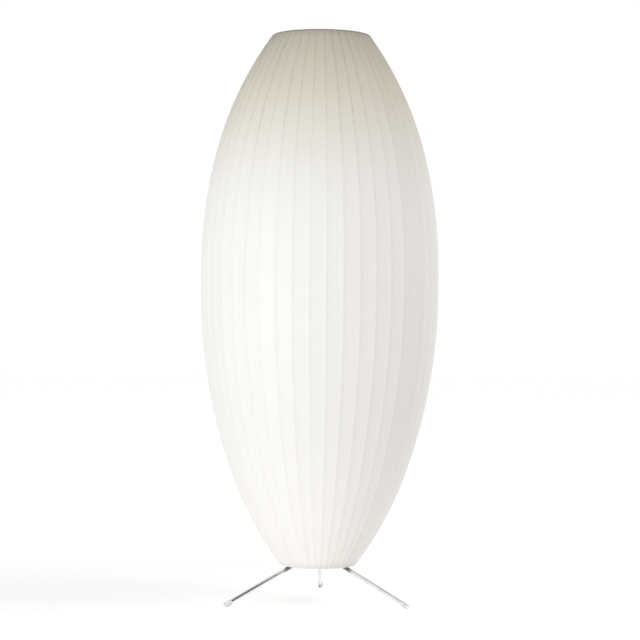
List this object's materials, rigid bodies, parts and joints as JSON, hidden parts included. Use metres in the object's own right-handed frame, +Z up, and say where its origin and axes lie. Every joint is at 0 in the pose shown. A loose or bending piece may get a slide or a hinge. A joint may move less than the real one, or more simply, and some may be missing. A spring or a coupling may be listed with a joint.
{
  "type": "floor lamp",
  "caption": "Tall bubble floor lamp: a pointed oval shade of taut white skin over upright wire ribs, on a splayed tripod of bright rods, with a screw bulb inside.",
  "frame": {"origin": "on the floor under the shade's axis", "axes": "+Z up along the shade's axis, -Y towards the front, +X to the right of a viewer in front"},
  "size_m": [0.3937, 0.3937, 0.9385],
  "materials": {
    "skin": "sprayed translucent polymer skin, faintly webbed, satin",
    "wire": "white lacquered steel wire and plate",
    "chrome": "polished plating on steel rod",
    "tip": "pale moulded plastic",
    "hub": "turned steel",
    "zinc": "zinc plated steel",
    "cover": "white lacquered tube",
    "bushing": "black nylon",
    "socket_brass": "drawn brass",
    "sleeve_card": "pressed insulating card",
    "core_ceramic": "fired white ceramic",
    "contact_brass": "plain spring brass",
    "bulb_opal": "frosted opal dome",
    "bulb_white": "white moulded body",
    "bulb_metal": "drawn nickel-bright cap",
    "bulb_black": "black insulating glass"
  },
  "bodies": {
    "stand": {"shade_skin": "skin", "shade_ribs": "wire", "top_ring": "wire", "bottom_ring": "wire", "shade_spider": "wire", "leg_right": "chrome", "leg_left": "chrome", "leg_rear": "chrome", "foot_tip_right": "tip", "foot_tip_left": "tip", "foot_tip_rear": "tip", "leg_hub": "hub", "threaded_pipe": "zinc", "lower_washer": "zinc", "lower_lock_nut": "zinc", "top_lock_washer": "zinc", "top_lock_nut": "zinc", "cap_set_screw": "zinc", "stem_cover": "cover", "cord_bushing": "bushing", "socket_cap": "socket_brass", "socket_shell": "socket_brass", "socket_sleeve": "sleeve_card", "socket_core": "core_ceramic", "screw_shell": "contact_brass", "terminal_screws": "contact_brass", "contact_spring": "contact_brass"},
    "contact": {"centre_contact": "contact_brass"},
    "bulb": {"bulb_globe": "bulb_opal", "bulb_body": "bulb_white", "bulb_screw_cap": "bulb_metal", "bulb_insulator": "bulb_black", "bulb_contact": "bulb_metal"}
  },
  "joints": [
    {"name": "contact_travel", "type": "slide", "parent": "stand", "child": "contact", "axis": [0, 0, 1], "range_m": [0, 0.00363], "deforming": ["contact_spring"]},
    {"name": "bulb_turn", "type": "hinge", "parent": "contact", "child": "bulb", "pos_m": [0, 0, 0.2647], "axis": [0, 0, 1], "range_deg": [0, 360]}
  ],
  "couplings": [
    {"joint": "contact_travel", "follows": "bulb_turn", "m_per_rad": 0.00057757}
  ]
}
